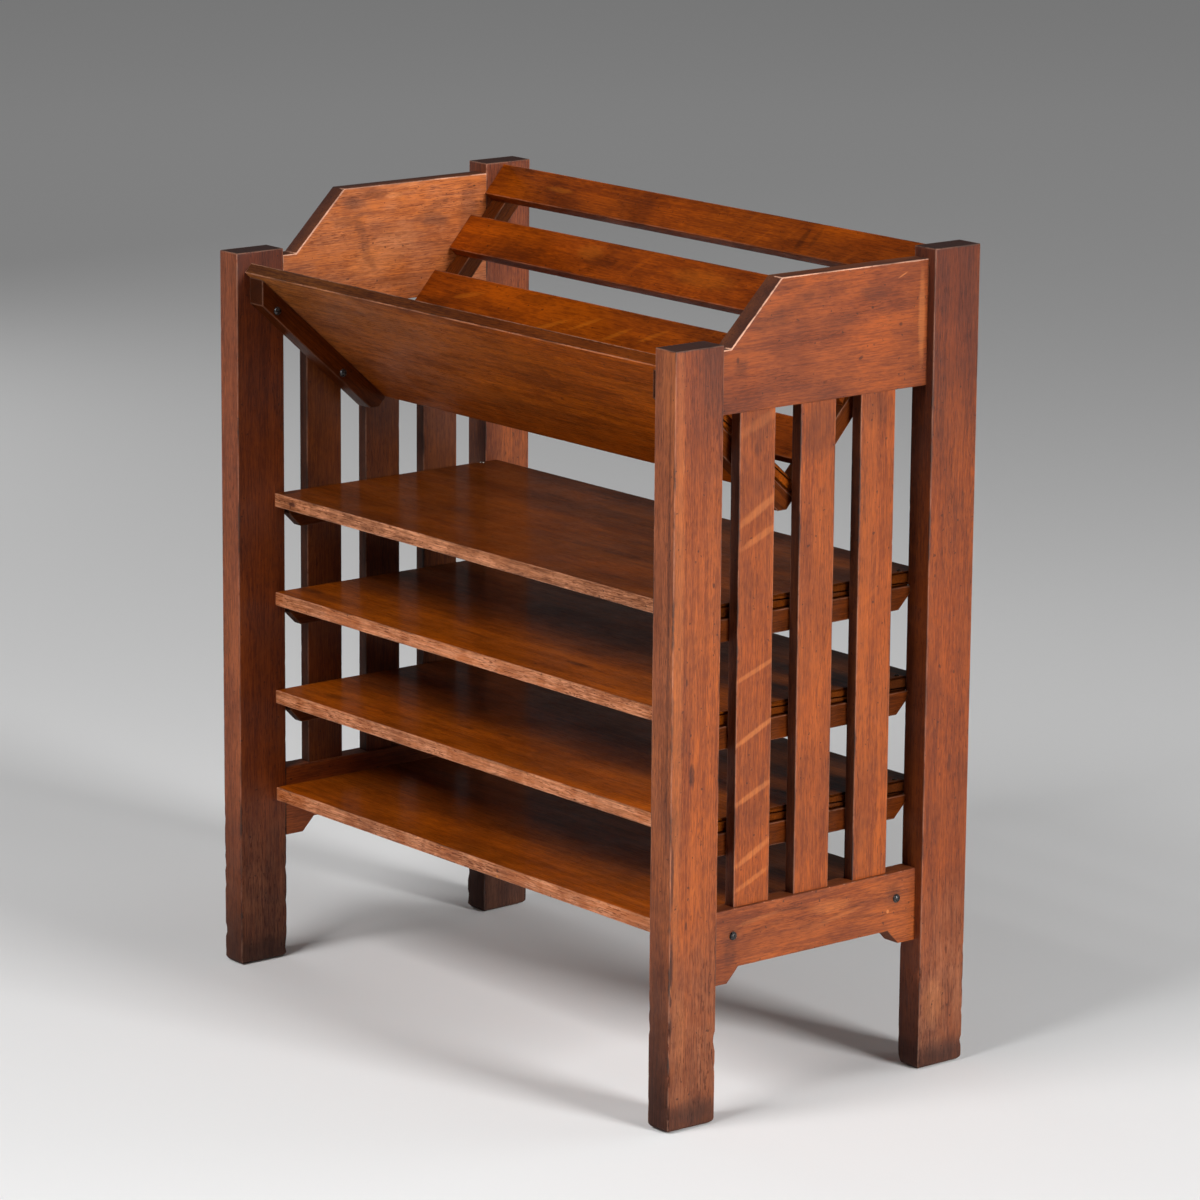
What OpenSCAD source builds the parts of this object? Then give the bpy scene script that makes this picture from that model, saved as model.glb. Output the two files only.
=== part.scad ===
// Book trough: an open oak stand with a V-shaped trough over four open shelves.
// Millimetres. X runs across the stand, Y from front to back, Z up from the floor.
// The origin is on the floor, in the middle of the four feet.

/* [Overall] */
// Width over the outer faces of the posts
overall_w = 708; // [600:1:900]
// Depth over the front and rear faces of the posts
overall_d = 371; // [350:1:420]
// Height of the rear posts
overall_h = 800; // [760:1:880]
// How much lower the front posts are
front_drop = 63; // [50:1:75]

/* [Posts] */
// Thickness of a post across the stand
post_w = 29; // [26:0.5:36]
// Width of a post from front to back
post_d = 57; // [50:0.5:62]

/* [End boards and rails] */
// Thickness of the end boards and the bottom rails
side_t = 20; // [16:0.5:24]
// Height of an end board at its rear end
end_h = 120; // [110:1:130]
// Drop of its upper edge below the top of the rear posts
end_drop = 10; // [4:1:20]
// Drop of its low front end below the top of the front posts
end_nose_drop = 7; // [3:1:12]
// Length of the level stretch at the low front end
end_nose_l = 16; // [8:1:24]
// Height of the rails' upper edge above the floor
rail_top_z = 201; // [196:1:225]
// Height of a rail between its feet
rail_h = 57; // [45:1:65]
// How far the ends of a rail reach below its lower edge
rail_foot_drop = 14.5; // [6:0.5:20]
// Length of the flat underside of each end of a rail
rail_foot_l = 21; // [12:1:40]
// Length of the slope from that underside up to the lower edge
rail_foot_slope = 14; // [8:1:24]

/* [Side slats] */
// Width of a slat
slat_w = 43; // [34:0.5:48]
// Thickness of a slat
slat_t = 12.5; // [9:0.5:15]
// Gap between the front post and the first slat
slat_first_gap = 31; // [22:0.5:34]
// Gap between the last slat and the rear post
slat_last_gap = 35; // [22:0.5:38]
// Depth to which a slat is housed in the end board and the rail
slat_housing = 8; // [4:0.5:14]

/* [Shelves] */
// Thickness of a shelf
shelf_t = 14; // [11:0.5:18]
// Length by which a shelf runs forward past the rear faces of the front posts
shelf_front_lap = 12; // [4:1:24]
// Length by which a shelf runs back past the front faces of the rear posts
shelf_rear_lap = 15; // [4:1:24]
// Drop of the lowest shelf's upper face below the rails' upper edge
shelf_low_drop = 19; // [8:1:30]
// Clear height between the top shelf and the tips of the trough's front battens
top_bay_h = 78.4; // [60:0.1:110]

/* [Shelf bearers] */
// Height of a bearer
bearer_h = 22; // [16:0.5:28]
// Thickness of a bearer across the stand
bearer_t = 12; // [9:0.5:18]
// Length of the 45 degree chamfer under each end of a bearer
bearer_chamfer = 14; // [4:0.5:15]

/* [Trough] */
// Slope of the front board below the level; the rear leg stands square to it
trough_angle = 41.5; // [38:0.5:44]
// Set-back of the front board's lower front edge from the front of the posts
trough_set = 10; // [6:0.5:16]
// Drop of that edge below the top of the front posts
trough_drop = 20; // [17:0.5:28]
// Width of the front board down its slope
trough_board_w = 212; // [200:1:220]
// Thickness of the front board
trough_board_t = 12; // [9:0.5:15]
// Distance from the front board's lower edge to the front of the rear slats
trough_lap = 20.5; // [16:0.5:28]

/* [Trough rear slats] */
// Width of the three lower rear slats
rear_slat_w = 43; // [36:0.5:48]
// Width of the top rear slat
rear_top_slat_w = 38; // [34:0.5:43]
// Thickness of a rear slat
rear_slat_t = 12; // [9:0.5:15]
// Gap between the front board and the lowest rear slat
rear_first_gap = 17.6; // [10:0.1:19]
// Distance from one rear slat to the next
rear_slat_pitch = 70; // [64:0.5:70.5]

/* [Trough battens] */
// Thickness of a batten across the stand
batten_w = 22; // [18:0.5:28]
// Depth of a front batten below the front board
batten_front_d = 20; // [16:0.5:24]
// Depth of a rear batten behind the rear slats
batten_rear_d = 17; // [12:0.5:22]
// Set-back of a front batten's upright end from the front board's edge
batten_set = 5.5; // [3:0.5:10]
// Drop of a front batten's level tip below the front board's lower edge
batten_tip_drop = 9.5; // [5:0.5:11]
// Drop of a rear batten's upper end below the top rear slat's upper edge
batten_rear_drop = 6.6; // [0:0.1:20]

/* [Joints and fixings] */
// Thickness of the tenons on the end boards and the rails
tenon_t = 10; // [6:0.5:12]
// Length of the tenons
tenon_l = 20; // [12:1:28]
// Shoulder above and below each tenon
tenon_shoulder = 7; // [4:0.5:12]
// Clearance round a tenon, a housed slat end, a screw or a nail
fit_gap = 0.15; // [0.1:0.05:0.3]
// Diameter of a screw's shank
screw_d = 4.2; // [3:0.1:5]
// Diameter of a screw's round head
screw_head_d = 8.6; // [7:0.1:10]
// Height of a screw's round head
screw_head_h = 3; // [2.2:0.1:4]
// Width of the slot in a screw's head
screw_slot_w = 1; // [0.6:0.1:1.4]
// Depth of the slot in a screw's head
screw_slot_deep = 1.4; // [0.8:0.1:1.8]
// Depth to which a batten screw enters the post or the slat
batten_screw_bite = 8; // [5:0.5:9]
// Depth to which a rail screw enters the end of the lowest shelf
rail_screw_bite = 22; // [14:1:30]
// Distance of a rail screw from the edge of the lowest shelf
rail_screw_in = 39.5; // [32:0.5:60]
// How far a batten screw sits behind the middle of the post or the slat
batten_screw_off = 5; // [0:0.5:8]
// How far a batten screw sits below the front board, square to it
batten_screw_down = 13; // [9:0.5:14]
// Diameter of a nail's shank
nail_d = 2; // [1.5:0.1:2.6]
// Diameter of a nail's domed head
nail_head_d = 5; // [4:0.1:6]
// Height of a nail's domed head
nail_head_h = 1.4; // [1:0.1:2]
// Depth to which a nail enters the bearer
nail_bite = 10; // [5:0.5:12]
// Distance of a nail from the rear post
nail_in = 7.5; // [5:0.5:20]

/* [Hidden] */

LEFT = -1;
RIGHT = 1;
$fn = 32;

// How many slats each side has, and how many shelves and rear slats there are; each set is
// numbered from 0 at the front or at the bottom
slat_count = 3;
shelf_count = 4;
rear_slat_count = 4;
top_shelf = shelf_count - 1;
top_rear_slat = rear_slat_count - 1;

// The arc of a fastener's dome, from its top to its rim, and the steps that draw it
dome_arc = 90;
dome_steps = 6;
// How far a tenon's block is sunk into its own board, so that the two are one solid
tenon_root = tenon_t;

// The posts' faces across the stand and from front to back
front_y = -overall_d / 2;
front_in_y = front_y + post_d;
rear_in_y = overall_d / 2 - post_d;
inner_w = overall_w - 2 * post_w;

// The front posts' height, the end boards' lower edge and the two levels of their upper edge
front_post_h = overall_h - front_drop;
end_top_z = overall_h - end_drop;
end_low_z = end_top_z - end_h;
end_nose_z = front_post_h - end_nose_drop;

// Depths inward from the outer face of a post: the slats run in the middle of the boards
side_mid = post_w - side_t / 2;
slat_in = side_mid + slat_t / 2;
slat_pitch = (rear_in_y - front_in_y - slat_first_gap - slat_last_gap - slat_w) / (slat_count - 1);

// The trough: u runs down the front board from its lower front edge, v stands square to it
trough_y = front_y + trough_set;
trough_z = front_post_h - trough_drop;
trough_tip_z = trough_z - trough_board_w * sin(trough_angle) - batten_tip_drop;
rear_leg_u = trough_board_w - trough_lap;

// The rails
rail_low_z = rail_top_z - rail_h;
rail_foot_z = rail_low_z - rail_foot_drop;

// The shelves: the lowest lies between the rails, and the rest share the height up to the trough
shelf_front_y = front_in_y - shelf_front_lap;
shelf_rear_y = rear_in_y + shelf_rear_lap;
shelf_low_z = rail_top_z - shelf_low_drop;
shelf_pitch = (trough_tip_z - top_bay_h - shelf_low_z) / (shelf_count - 1);

// The rails' screws, in the middle of the lowest shelf's thickness
rail_screw_y = [shelf_front_y + rail_screw_in, shelf_rear_y - rail_screw_in];
rail_screw_z = shelf_low_z - shelf_t / 2;

// The nails, in the middle of what the bearers carry of the shelves
nail_depth = (post_w + slat_in + bearer_t) / 2;
nail_y = rear_in_y - nail_in;

function trough_point_z(u, v) = trough_z - u * sin(trough_angle) + v * cos(trough_angle);
function slat_mid_y(i) = front_in_y + slat_first_gap + i * slat_pitch + slat_w / 2;
function shelf_z(i) = shelf_low_z + i * shelf_pitch;
function rear_slat_v(i) = trough_board_t + rear_first_gap + i * rear_slat_pitch;

// The height at which the rear battens end, measured square to the front board
batten_rear_v = rear_slat_v(top_rear_slat) + rear_top_slat_w - batten_rear_drop;

// The battens' screws run level across the stand, one into the post and one into the front slat
screw_y = [front_y + post_d / 2 + batten_screw_off, slat_mid_y(0) + batten_screw_off];
batten_screw_l = [batten_w + batten_screw_bite, batten_w + post_w - slat_in + batten_screw_bite];
function screw_u(y) = (y - trough_y + batten_screw_down * sin(trough_angle)) / cos(trough_angle);
function screw_z(y) = trough_point_z(screw_u(y), -batten_screw_down);

// Puts children on one side: x is then 0 on the post's outer face and falls towards the middle
module on_side(side) {
    mirror([side < 0 ? 1 : 0, 0, 0])
        translate([overall_w / 2, 0, 0])
            children();
}

// A board in the plane of the sides, given by its outline in Y and Z and its depth from the outer face
module upright_board(depth, thickness, outline) {
    translate([-depth - thickness, 0, 0])
        rotate([90, 0, 90])
            linear_extrude(thickness)
                polygon(outline);
}

// A block that starts at a depth from the outer face, with its least y and z
module side_block(depth, thickness, y, length, z, height) {
    translate([-depth - thickness, y, z])
        cube([thickness, length, height]);
}

// A tenon with its root from its least y on, or with a gap the mortise that takes it
module tenon(y, z_low, z_high, gap) {
    side_block(
        side_mid - tenon_t / 2 - gap, tenon_t + 2 * gap,
        y - gap, tenon_l + tenon_root + 2 * gap,
        z_low + tenon_shoulder - gap, z_high - z_low - 2 * tenon_shoulder + 2 * gap
    );
}

// The tenons at both ends of a board, or with a gap their mortises
module tenons(z_low, z_high_front, z_high_rear, gap) {
    tenon(front_in_y - tenon_l, z_low, z_high_front, gap);
    tenon(rear_in_y - tenon_root, z_low, z_high_rear, gap);
}

module end_board_tenons(gap) {
    tenons(end_low_z, end_nose_z, end_top_z, gap);
}

module rail_tenons(gap) {
    tenons(rail_foot_z, rail_top_z, rail_top_z, gap);
}

// A level hole across the stand, from a depth below the outer face inward
module cross_hole(depth, length, y, z) {
    translate([-depth - length - fit_gap, y, z])
        rotate([0, 90, 0])
            cylinder(h = length + 2 * fit_gap, d = screw_d + 2 * fit_gap);
}

// The end of a batten screw's hole in the post or the slat, whose inner face is at a depth
module batten_screw_hole(depth, k) {
    cross_hole(depth - batten_screw_bite, batten_screw_bite, screw_y[k], screw_z(screw_y[k]));
}

// The holes of one side's rail screws, through the rail and into the end of the lowest shelf
module rail_screw_holes() {
    for (y = rail_screw_y)
        cross_hole(post_w - side_t, side_t + rail_screw_bite, y, rail_screw_z);
}

// The hole of a nail through a shelf and into its bearer
module nail_hole(i) {
    hole_l = shelf_t + nail_bite;
    translate([-nail_depth, nail_y, shelf_z(i) - hole_l - fit_gap])
        cylinder(h = hole_l + 2 * fit_gap, d = nail_d + 2 * fit_gap);
}

// A post with the mortises of the end board and the rail
module post(y, height) {
    difference() {
        side_block(0, post_w, y, post_d, 0, height);
        end_board_tenons(fit_gap);
        rail_tenons(fit_gap);
    }
}

// A front post, with the hole for the upper screw of its batten
module front_post(side) {
    color([0.58, 0.33, 0.21])
        on_side(side)
            difference() {
                post(front_y, front_post_h);
                batten_screw_hole(post_w, 0);
            }
}

// A rear post
module rear_post(side) {
    color([0.58, 0.33, 0.21])
        on_side(side)
            post(rear_in_y, overall_h);
}

// A side slat, or with a gap the housings that take its ends
module slat_body(i, gap) {
    side_block(
        side_mid - slat_t / 2 - gap, slat_t + 2 * gap,
        slat_mid_y(i) - slat_w / 2 - gap, slat_w + 2 * gap,
        rail_top_z - slat_housing - gap, end_low_z - rail_top_z + 2 * slat_housing + 2 * gap
    );
}

// An end board: low at the front, with a 45 degree rise to its level top. Where the batten's
// screw meets the tenon it goes through it
module end_board(side) {
    rise = end_top_z - end_nose_z;
    outline = [
        [front_in_y, end_low_z],
        [rear_in_y, end_low_z],
        [rear_in_y, end_top_z],
        [front_in_y + end_nose_l + rise, end_top_z],
        [front_in_y + end_nose_l, end_nose_z],
        [front_in_y, end_nose_z]
    ];
    color([0.68, 0.38, 0.22])
        on_side(side)
            difference() {
                union() {
                    upright_board(post_w - side_t, side_t, outline);
                    end_board_tenons(0);
                }
                for (i = [0:slat_count - 1])
                    slat_body(i, fit_gap);
                batten_screw_hole(post_w, 0);
            }
}

// A bottom rail: its ends reach lower, with a slope up to the straight lower edge
module rail(side) {
    outline = [
        [front_in_y, rail_foot_z],
        [front_in_y + rail_foot_l, rail_foot_z],
        [front_in_y + rail_foot_l + rail_foot_slope, rail_low_z],
        [rear_in_y - rail_foot_l - rail_foot_slope, rail_low_z],
        [rear_in_y - rail_foot_l, rail_foot_z],
        [rear_in_y, rail_foot_z],
        [rear_in_y, rail_top_z],
        [front_in_y, rail_top_z]
    ];
    color([0.66, 0.37, 0.22])
        on_side(side)
            difference() {
                union() {
                    upright_board(post_w - side_t, side_t, outline);
                    rail_tenons(0);
                }
                for (i = [0:slat_count - 1])
                    slat_body(i, fit_gap);
                rail_screw_holes();
            }
}

// A side slat; the front one takes the lower screw of its batten
module side_slat(side, i) {
    color([0.70, 0.40, 0.24])
        on_side(side)
            difference() {
                slat_body(i, 0);
                if (i == 0)
                    batten_screw_hole(slat_in, 1);
            }
}

// A shelf from post to post: the lowest is screwed through the rails, the others are nailed down
module shelf(i) {
    color([0.62, 0.36, 0.22])
        difference() {
            translate([-inner_w / 2, shelf_front_y, shelf_z(i) - shelf_t])
                cube([inner_w, shelf_rear_y - shelf_front_y, shelf_t]);
            for (side = [LEFT, RIGHT])
                on_side(side)
                    if (i == 0)
                        rail_screw_holes();
                    else
                        nail_hole(i);
        }
}

// A bearer between the posts, against the slats, under one end of a shelf
module bearer(side, i) {
    top_z = shelf_z(i) - shelf_t;
    outline = [
        [front_in_y, top_z],
        [front_in_y, top_z - bearer_h + bearer_chamfer],
        [front_in_y + bearer_chamfer, top_z - bearer_h],
        [rear_in_y - bearer_chamfer, top_z - bearer_h],
        [rear_in_y, top_z - bearer_h + bearer_chamfer],
        [rear_in_y, top_z]
    ];
    color([0.45, 0.25, 0.15])
        on_side(side)
            difference() {
                upright_board(slat_in, bearer_t, outline);
                nail_hole(i);
            }
}

// Turns children to the slope of the trough: y runs down the front board, z square to it
module in_trough() {
    translate([0, trough_y, trough_z])
        rotate([-trough_angle, 0, 0])
            children();
}

// The front board of the trough
module front_board() {
    color([0.48, 0.28, 0.17])
        in_trough()
            translate([-inner_w / 2, 0, 0])
                cube([inner_w, trough_board_w, trough_board_t]);
}

// A rear slat of the trough
module rear_slat(i, width) {
    color([0.60, 0.32, 0.14])
        in_trough()
            translate([-inner_w / 2, rear_leg_u, rear_slat_v(i)])
                cube([inner_w, rear_slat_t, width]);
}

// A front batten under the front board: upright at the front, level at the tip, with two screw holes
module front_batten(side) {
    tip_v = -batten_tip_drop / cos(trough_angle);
    low_v = -batten_front_d;
    tip_u = trough_board_w + (batten_tip_drop + low_v * cos(trough_angle)) / sin(trough_angle);
    outline = [
        [batten_set / cos(trough_angle), 0],
        [(batten_set - low_v * sin(trough_angle)) / cos(trough_angle), low_v],
        [tip_u, low_v],
        [trough_board_w, tip_v],
        [trough_board_w, 0]
    ];
    color([0.38, 0.21, 0.13])
        on_side(side)
            difference() {
                in_trough()
                    upright_board(post_w, batten_w, outline);
                for (y = screw_y)
                    cross_hole(post_w, batten_w, y, screw_z(y));
            }
}

// A rear batten behind the rear slats, from the front board up
module rear_batten(side) {
    color([0.38, 0.21, 0.13])
        on_side(side)
            in_trough()
                side_block(
                    post_w, batten_w,
                    rear_leg_u + rear_slat_t, batten_rear_d,
                    trough_board_t, batten_rear_v - trough_board_t
                );
}

// A turned fastener along +Z: its domed head stands above z = 0 and its shank runs below
module domed_pin(head_d, head_h, shank_d, shank_l) {
    dome = [
        for (k = [0:dome_steps])
            let(t = dome_arc * k / dome_steps)
            [head_d / 2 * sin(t), head_h * cos(t)]
    ];
    rotate_extrude()
        polygon(concat(dome, [[shank_d / 2, 0], [shank_d / 2, -shank_l], [0, -shank_l]]));
}

// A slotted round-headed screw
module screw(length) {
    difference() {
        domed_pin(screw_head_d, screw_head_h, screw_d, length);
        translate([-screw_head_d / 2, -screw_slot_w / 2, screw_head_h - screw_slot_deep])
            cube([screw_head_d, screw_slot_w, screw_head_h]);
    }
}

// The screws that hold the front battens to the posts and the front slats
module batten_screws() {
    color([0.16, 0.14, 0.13])
        for (side = [LEFT, RIGHT])
            on_side(side)
                for (k = [0, 1])
                    translate([-post_w - batten_w, screw_y[k], screw_z(screw_y[k])])
                        rotate([0, -90, 0])
                            screw(batten_screw_l[k]);
}

// The screws through the rails into the ends of the lowest shelf
module rail_screws() {
    color([0.16, 0.14, 0.13])
        for (side = [LEFT, RIGHT])
            on_side(side)
                for (y = rail_screw_y)
                    translate([side_t - post_w, y, rail_screw_z])
                        rotate([0, 90, 0])
                            screw(side_t + rail_screw_bite);
}

// The nails through the rear corners of the upper three shelves
module shelf_nails() {
    color([0.55, 0.50, 0.45])
        for (side = [LEFT, RIGHT])
            on_side(side)
                for (i = [1:top_shelf])
                    translate([-nail_depth, nail_y, shelf_z(i)])
                        domed_pin(nail_head_d, nail_head_h, nail_d, shelf_t + nail_bite);
}

front_post(LEFT);  // post_front_left
front_post(RIGHT);  // post_front_right
rear_post(LEFT);  // post_rear_left
rear_post(RIGHT);  // post_rear_right
end_board(LEFT);  // end_board_left
end_board(RIGHT);  // end_board_right
rail(LEFT);  // rail_left
rail(RIGHT);  // rail_right
side_slat(LEFT, 0);  // side_slat_left_front
side_slat(LEFT, 1);  // side_slat_left_middle
side_slat(LEFT, 2);  // side_slat_left_rear
side_slat(RIGHT, 0);  // side_slat_right_front
side_slat(RIGHT, 1);  // side_slat_right_middle
side_slat(RIGHT, 2);  // side_slat_right_rear
shelf(0);  // shelf_bottom
shelf(1);  // shelf_lower
shelf(2);  // shelf_upper
shelf(top_shelf);  // shelf_top
bearer(LEFT, 1);  // shelf_bearer_lower_left
bearer(RIGHT, 1);  // shelf_bearer_lower_right
bearer(LEFT, 2);  // shelf_bearer_upper_left
bearer(RIGHT, 2);  // shelf_bearer_upper_right
bearer(LEFT, top_shelf);  // shelf_bearer_top_left
bearer(RIGHT, top_shelf);  // shelf_bearer_top_right
front_board();  // trough_front_board
rear_slat(0, rear_slat_w);  // trough_slat_lowest
rear_slat(1, rear_slat_w);  // trough_slat_lower
rear_slat(2, rear_slat_w);  // trough_slat_upper
rear_slat(top_rear_slat, rear_top_slat_w);  // trough_slat_top
front_batten(LEFT);  // trough_batten_front_left
front_batten(RIGHT);  // trough_batten_front_right
rear_batten(LEFT);  // trough_batten_rear_left
rear_batten(RIGHT);  // trough_batten_rear_right
batten_screws();
rail_screws();
shelf_nails();
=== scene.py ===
"""Looks of the book trough: stained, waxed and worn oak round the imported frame."""
import math

import bmesh
import bpy
from mathutils import Matrix, Vector, noise


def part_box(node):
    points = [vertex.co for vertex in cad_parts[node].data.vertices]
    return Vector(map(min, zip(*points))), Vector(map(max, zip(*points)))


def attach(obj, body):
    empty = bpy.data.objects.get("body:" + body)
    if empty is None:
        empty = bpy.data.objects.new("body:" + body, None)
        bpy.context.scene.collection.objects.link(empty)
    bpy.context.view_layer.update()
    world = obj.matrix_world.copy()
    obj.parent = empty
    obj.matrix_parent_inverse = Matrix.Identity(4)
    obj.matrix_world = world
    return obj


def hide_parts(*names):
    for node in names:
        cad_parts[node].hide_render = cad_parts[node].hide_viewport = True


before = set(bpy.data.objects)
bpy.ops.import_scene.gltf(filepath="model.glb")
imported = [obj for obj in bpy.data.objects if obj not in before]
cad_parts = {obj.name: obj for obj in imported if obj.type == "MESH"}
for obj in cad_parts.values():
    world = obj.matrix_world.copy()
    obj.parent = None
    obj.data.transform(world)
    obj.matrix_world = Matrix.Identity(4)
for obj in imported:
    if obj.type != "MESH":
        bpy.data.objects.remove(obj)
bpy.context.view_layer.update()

bl_info = {
    "name": "Book Trough",
    "version": (1, 0, 0),
    "blender": (4, 5, 0),
    "location": "View3D > Sidebar > Book Trough",
    "description": "Builds the worn oak book trough round its packed frame",
    "category": "Object",
}

MM = 0.001
ACROSS = Vector((1, 0, 0))
UP = Vector((0, 0, 1))
SIDES = ("left", "right")

# Nearness: of points that are one, of a point to a level, and the cosine of an edge that runs straight on
MERGE = 0.01 * MM
AT_LEVEL = 0.05 * MM
STRAIGHT = 0.9999

# Places on the trough, in metres
AIM_HEIGHT = 0.4  # the lamps point here
FRONT_FACE = -0.185  # the front faces of the front posts lie before this
POST_OUTSIDE = -0.353  # the left posts' outer faces lie beyond this
SLAT_OUTSIDE = -0.338  # and those of the left slats beyond this
END_BOARD_MIDDLE = 0.335  # half way through an end board
END_BOARD_FOOT = 0.68  # the end boards are little rubbed below this

# Wear, dirt and drunk stain: patterns in a metre, noise above which a nick or dent begins, and amounts
SLOW_RUB, NICKS, DENTS = 22, 150, 75
NICK_FROM, DENT_FROM = 0.45, 0.1
LITTLE_RUBBED = 0.74
RAIL_RUBBED = 0.78
GRIME_HEIGHT = 0.2
SOLE_HEIGHT = 0.03
SIDE_DIRT, FRONT_DIRT, SOLE_DIRT, MOST_DIRT = 0.74, 0.36, 0.65, 0.94
SCUFFED = 0.28
FOOT_RINGS = 5

# How far a piece's seed moves it through the patterns, so that no two boards are alike
WEAR_STEPS = (3.1, 1.7, 0.9)
GRAIN_STEPS = (1.37, 0.211, 0.113)

# Tints, each multiplied with a colour
DEEP_PORE = (0.40, 0.34, 0.36)
PALE_FLECK = (1.25, 1.35, 1.4)
DULL_CLOUD = (0.52, 0.46, 0.60)
WARM_GLOW = (1.16, 1.12, 0.80)
STAINED_PORE = (0.30, 0.22, 0.18)
LIFTED = (1.6, 1.7, 1.9)
RAY_AND_LIGHT = (1.6, 2.6, 6.5)
DARK_MARK = (0.22, 0.20, 0.30)

# Plain colours
RUST = (0.035, 0.016, 0.008)
AMBER = (1.0, 0.6, 0.3)
WHITE = (1, 1, 1)


# Property makers

def length(label, text, value, high=100):
    """A size in millimetres, shown in the scene's own unit."""
    return bpy.props.FloatProperty(
        name=label, description=text, default=value * MM, min=0, max=high * MM,
        subtype="DISTANCE", unit="LENGTH", precision=5,
    )


def share(label, text, value, high=1.0):
    """A plain amount."""
    return bpy.props.FloatProperty(
        name=label, description=text, default=value, min=0, max=high, subtype="FACTOR",
    )


def stain(label, text, value):
    """A linear colour."""
    return bpy.props.FloatVectorProperty(
        name=label, description=text, default=value, min=0, max=1, size=3, subtype="COLOR",
    )


def angle(label, text, degrees):
    """A turn, given in degrees."""
    return bpy.props.FloatProperty(
        name=label, description=text, default=math.radians(degrees), subtype="ANGLE", unit="ROTATION",
    )


class BoardSizes(bpy.types.PropertyGroup):
    """Sizes of the wear on the oak boards."""

    arris: length("Arris", "Radius of a board's long arrises", 0.8, 6)
    foot: length("Post foot", "Radius round the bottom of a post", 6, 12)
    band: length("Wear band", "Width of the strip beside an arris that wears with it", 2.4, 8)
    station: length("Station", "Spacing of the cuts across the grain", 5, 40)
    rub: length("Rub", "How far hands and books have rubbed an arris back", 0.12, 2)
    chip: length("Chip", "Depth of the small nicks in an arris", 0.9, 4)
    foot_height: length("Foot wear height", "Height of the knocked strip above the floor", 180, 300)
    foot_wear: share("Foot wear", "How much more the feet are knocked than the rest", 2.6, 8)
    dent: length("Dent", "Depth of the dents in the arrises near the floor", 4.0, 8)


class OakStains(bpy.types.PropertyGroup):
    """Colours of the wood and the metal. Each part's own light and dark stain are added below."""

    # The rubbed colour also paints a highlight on the end boards' arrises that look right.
    rubbed: stain("Rubbed arris", "Bare, pale wood where an arris is rubbed", (0.78, 0.42, 0.28))
    bare: stain("Bare wood", "Wood whose stain has worn thin", (0.76, 0.32, 0.160))
    # This colour also lays painted shade on tops and on front and back faces, besides real dirt.
    grime: stain("Grime", "Old wax and dirt in corners and on tops", (0.013, 0.004, 0.003))
    japan: stain("Black japan", "Black lacquer of the screws", (0.018, 0.017, 0.018))
    steel: stain("Nail steel", "Dull steel of the nail heads", (0.42, 0.39, 0.35))


for part, label, wood, light, dark in (
    ("posts", "Posts", "the posts", (0.375, 0.083, 0.010), (0.165, 0.030, 0.003)),
    ("boards", "End boards", "the end boards and rails", (0.400, 0.091, 0.011), (0.200, 0.039, 0.005)),
    ("slats", "Side slats", "the side slats", (0.375, 0.084, 0.010), (0.175, 0.033, 0.004)),
    ("shelves", "Shelves", "the shelves", (0.42, 0.090, 0.003), (0.21, 0.040, 0.001)),
    ("trough", "Trough board", "the front board", (0.36, 0.078, 0.003), (0.14, 0.027, 0.002)),
    ("rack", "Trough slats", "the trough slats", (0.365, 0.071, 0.002), (0.185, 0.031, 0.001)),
    ("battens", "Battens", "battens and bearers", (0.11, 0.021, 0.002), (0.048, 0.008, 0.001)),
):
    OakStains.__annotations__[part + "_light"] = stain(label + ", light", "Open grain of " + wood, light)
    OakStains.__annotations__[part + "_dark"] = stain(label + ", dark", "Dark grain of " + wood, dark)


class MetalSizes(bpy.types.PropertyGroup):
    """Sizes of the screw and nail heads."""

    screw_dome: length("Screw dome", "Height of a round screw head", 3, 8)
    screw_shank: length("Screw shank", "Thickness of a screw's shank", 4.2, 10)
    slot_width: length("Slot width", "Width of the driver's slot", 1, 4)
    slot_depth: length("Slot depth", "Depth of the driver's slot", 1.4, 4)
    nail_dome: length("Nail dome", "Height of a nail head", 1.4, 5)
    nail_shank: length("Nail shank", "Thickness of a nail", 2, 6)


class StageSettings(bpy.types.PropertyGroup):
    """Camera, lamps and floor."""

    place: bpy.props.FloatVectorProperty(
        name="Camera place", description="Where the photograph was taken from",
        default=(3.9315, -3.1949, 1.5859), size=3, subtype="TRANSLATION", unit="LENGTH",
    )
    yaw: angle("Yaw", "Turn of the camera round the trough", 50.743)
    pitch: angle("Pitch", "How far the camera looks down", 12.979)
    roll: angle("Roll", "Tilt of the picture", 0.4646)
    lens: bpy.props.FloatProperty(
        name="Lens", description="Focal length on a 36 mm sensor, in millimetres",
        default=158.9955, min=10, max=500,
    )
    key: share("Key", "Light on a white face turned to the key lamp", 1.0, 4)
    fill: share("Fill", "Light on a white face turned to the front lamp", 0.8, 4)
    rear: share("Rear fill", "Light on a white face turned to a lamp behind", 0.14, 4)
    sky: share("Sky", "Even light from all round", 0.03, 4)
    backdrop: share("Backdrop", "Brightness of the backdrop that the camera sees", 0.13, 1)
    floor: stain("Floor", "Colour of the pale floor", (0.80, 0.80, 0.80))


# Marks that the photograph shows: middle, direction, half length and half width in
# millimetres, and strength. On a face that looks left or right, the middle's first number is the face's.

UPWARD = (0, 0, 1)
RISING = (0, 1, 0.42)
LEVEL = (0, 1, 0)
LONGWAYS = (1, 0, 0)
UP_THE_RACK = (0.13, 0.66, 0.75)


def on_face(x, *marks):
    """Marks that lie on one face."""
    return [((x, y, z), *rest) for y, z, *rest in marks]


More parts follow.
